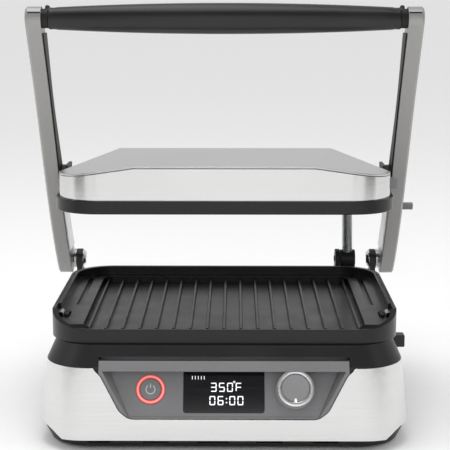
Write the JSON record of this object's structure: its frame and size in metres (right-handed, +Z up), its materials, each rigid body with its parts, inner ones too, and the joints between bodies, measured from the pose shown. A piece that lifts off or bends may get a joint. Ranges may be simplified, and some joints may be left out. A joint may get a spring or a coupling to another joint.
{
  "type": "panini press",
  "caption": "Electric panini press with ribbed removable plates, a floating stainless lid, lifting arms with a bar handle, and a control panel with display and knob.",
  "frame": {"origin": "middle of the press's outline, on the table", "axes": "+X to the right and +Y to the back, seen from the control panel; +Z up"},
  "size_m": [0.3644, 0.313, 0.3847],
  "materials": {
    "brushed_steel": "brushed along its length",
    "lid_steel": "brushed, satin",
    "arm_metal": "warm grey satin",
    "liner_black": "black, fine moulded texture",
    "grip_black": "black, soft-touch",
    "charcoal": "charcoal satin moulding",
    "black_plastic": "black moulding",
    "panel_grey": "grey satin moulding",
    "display_glass": "black, glossy",
    "plate_coat": "dark grey non-stick coating",
    "chrome": "polished",
    "red_glow": "red light ring",
    "button_grey": "grey satin moulding",
    "rubber": "black rubber",
    "aluminium": "mill finish",
    "heater_steel": "heat-tinted",
    "board_green": "circuit board",
    "conduit_grey": "grey sleeve",
    "zinc": "zinc plated"
  },
  "bodies": {
    "base": {"base_wrap": "brushed_steel", "base_pan": "black_plastic", "base_bezel": "charcoal", "rear_cover": "black_plastic", "feet": "rubber", "base_screws": "zinc", "panel_housing": "panel_grey", "control_panel": "panel_grey", "display_window": "display_glass", "display_board": "board_green", "power_ring": "red_glow", "control_board": "board_green", "power_switch": "black_plastic", "knob_encoder": "zinc", "lower_heat_shield": "aluminium", "lower_element": "heater_steel", "lower_thermostat": "zinc", "clip_blocks": "black_plastic", "clip_springs": "zinc", "hinge_bracket_right": "black_plastic", "hinge_bracket_left": "black_plastic", "cord_inlet": "rubber", "power_board": "board_green"},
    "lower_plate": {"lower_plate": "plate_coat"},
    "lower_release": {"lower_release_button": "button_grey"},
    "drip_tray": {"drip_tray": "black_plastic"},
    "power_button": {"power_button": "panel_grey"},
    "knob_shaft": {"knob_shaft": "zinc"},
    "knob": {"knob_body": "button_grey", "knob_rim": "chrome"},
    "hinge_pins": {"hinge_pin_right": "chrome", "hinge_pin_left": "chrome", "conduit_swivel": "black_plastic", "wiring_conduit": "conduit_grey"},
    "arms": {"arm_right": "arm_metal", "arm_left": "arm_metal", "arm_liners": "liner_black", "arm_strips": "aluminium", "handle_grip": "grip_black", "handle_tube": "zinc", "handle_ferrules": "chrome", "handle_feet": "rubber"},
    "hinge_lock": {"hinge_lock_pin": "button_grey"},
    "lid": {"lid_cover": "lid_steel", "lid_band": "brushed_steel", "lid_frame": "black_plastic", "lid_pivot_right": "black_plastic", "lid_pivot_left": "black_plastic", "lid_gland": "black_plastic", "upper_heat_shield": "aluminium", "upper_element": "heater_steel"},
    "upper_plate": {"upper_plate": "plate_coat"},
    "upper_release": {"upper_release_button": "button_grey"}
  },
  "joints": [
    {"name": "fold_back", "type": "hinge", "parent": "base", "child": "hinge_pins", "pos_m": [-0.00625, 0.12712, 0.116], "axis": [-1, 0, 0], "range_deg": [0, 143]},
    {"name": "press", "type": "hinge", "parent": "hinge_pins", "child": "arms", "pos_m": [-0.00625, 0.12712, 0.116], "axis": [-1, 0, 0], "range_deg": [-42.4, 0], "deforming": ["wiring_conduit"]},
    {"name": "lid_level", "type": "hinge", "parent": "arms", "child": "lid", "pos_m": [-0.00625, 0.04162, 0.215], "axis": [-1, 0, 0], "range_deg": [0, 42.4]},
    {"name": "lower_plate_lift", "type": "slide", "parent": "base", "child": "lower_plate", "axis": [0, 0, 1], "range_m": [0, 0.03]},
    {"name": "upper_plate_drop", "type": "slide", "parent": "lid", "child": "upper_plate", "axis": [0, 0, -1], "range_m": [0, 0.03]},
    {"name": "lower_release_push", "type": "slide", "parent": "base", "child": "lower_release", "axis": [-1, 0, 0], "range_m": [0, 0.003], "stiffness_N_per_m": 800},
    {"name": "upper_release_push", "type": "slide", "parent": "lid", "child": "upper_release", "axis": [-1, 0, 0], "range_m": [0, 0.003], "stiffness_N_per_m": 800},
    {"name": "hinge_lock_pull", "type": "slide", "parent": "arms", "child": "hinge_lock", "axis": [1, 0, 0], "range_m": [0, 0.004], "stiffness_N_per_m": 800},
    {"name": "drip_tray_slide", "type": "slide", "parent": "base", "child": "drip_tray", "axis": [0, -1, 0], "range_m": [-0.15, 0]},
    {"name": "power_press", "type": "slide", "parent": "base", "child": "power_button", "axis": [0, 0.9135, -0.4067], "range_m": [0, 0.0015], "stiffness_N_per_m": 1200},
    {"name": "knob_press", "type": "slide", "parent": "base", "child": "knob_shaft", "axis": [0, 0.9135, -0.4067], "range_m": [0, 0.001], "stiffness_N_per_m": 1500},
    {"name": "knob_turn", "type": "hinge", "parent": "knob_shaft", "child": "knob", "pos_m": [0.05575, -0.14175, 0.05482], "axis": [0, -0.9135, 0.4067], "continuous": true}
  ],
  "couplings": [
    {"joint": "lid_level", "follows": "press", "ratio": -1}
  ]
}
